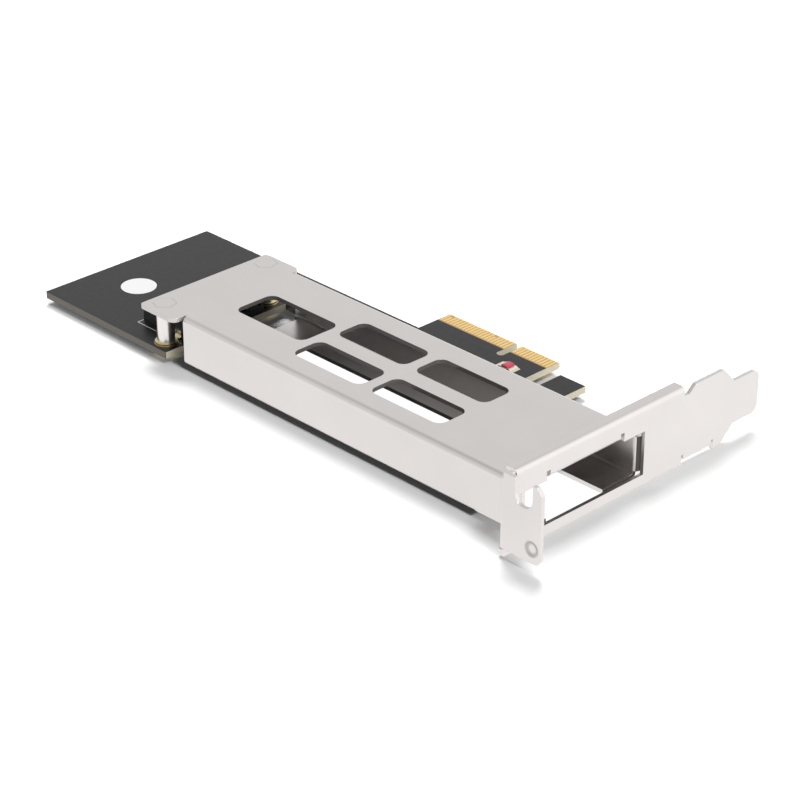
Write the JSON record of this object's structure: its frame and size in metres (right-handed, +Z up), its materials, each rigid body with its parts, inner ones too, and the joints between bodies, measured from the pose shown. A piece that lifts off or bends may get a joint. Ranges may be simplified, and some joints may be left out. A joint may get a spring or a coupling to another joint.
{
  "type": "drive adapter card",
  "caption": "Slot-mounted adapter card: a folded metal tray cage with windows, on standoffs over an L-shaped circuit board with edge contacts and a socket, behind a half-height slot bracket.",
  "frame": {"origin": "under the middle of the card's outline, on the level of the bracket's lower edge that it rests on", "axes": "+X along the card towards the slot bracket, +Y towards the edge contacts, +Z up from the component side"},
  "size_m": [0.1656, 0.0792, 0.0199],
  "materials": {
    "board": "satin",
    "gold_plate": "polished",
    "plated_sheet": "satin",
    "plated_turning": "polished",
    "socket_black": "matte",
    "solder_tin": "polished",
    "chip_white": "matte",
    "led_red": "gloss",
    "chip_black": "matte",
    "chip_tan": "satin",
    "sticker_white": "matte"
  },
  "bodies": {
    "root": {"circuit_board": "board", "edge_contacts_component_side": "gold_plate", "edge_contacts_solder_side": "gold_plate", "tray_cage": "plated_sheet", "left_standoff": "plated_turning", "right_standoff": "plated_turning", "left_standoff_screw": "plated_turning", "right_standoff_screw": "plated_turning", "standoff_pads": "gold_plate", "slot_bracket": "plated_sheet", "tray_socket_housing": "socket_black", "socket_upper_contacts": "gold_plate", "socket_lower_contacts": "gold_plate", "left_socket_hold_down": "solder_tin", "right_socket_hold_down": "solder_tin", "status_led_base": "chip_white", "status_led_lens": "led_red", "status_led_ends": "solder_tin", "led_resistor_body": "chip_black", "led_resistor_ends": "solder_tin", "supply_capacitor_bodies": "chip_tan", "supply_capacitor_ends": "solder_tin", "round_sticker": "sticker_white"}
  },
  "joints": []
}
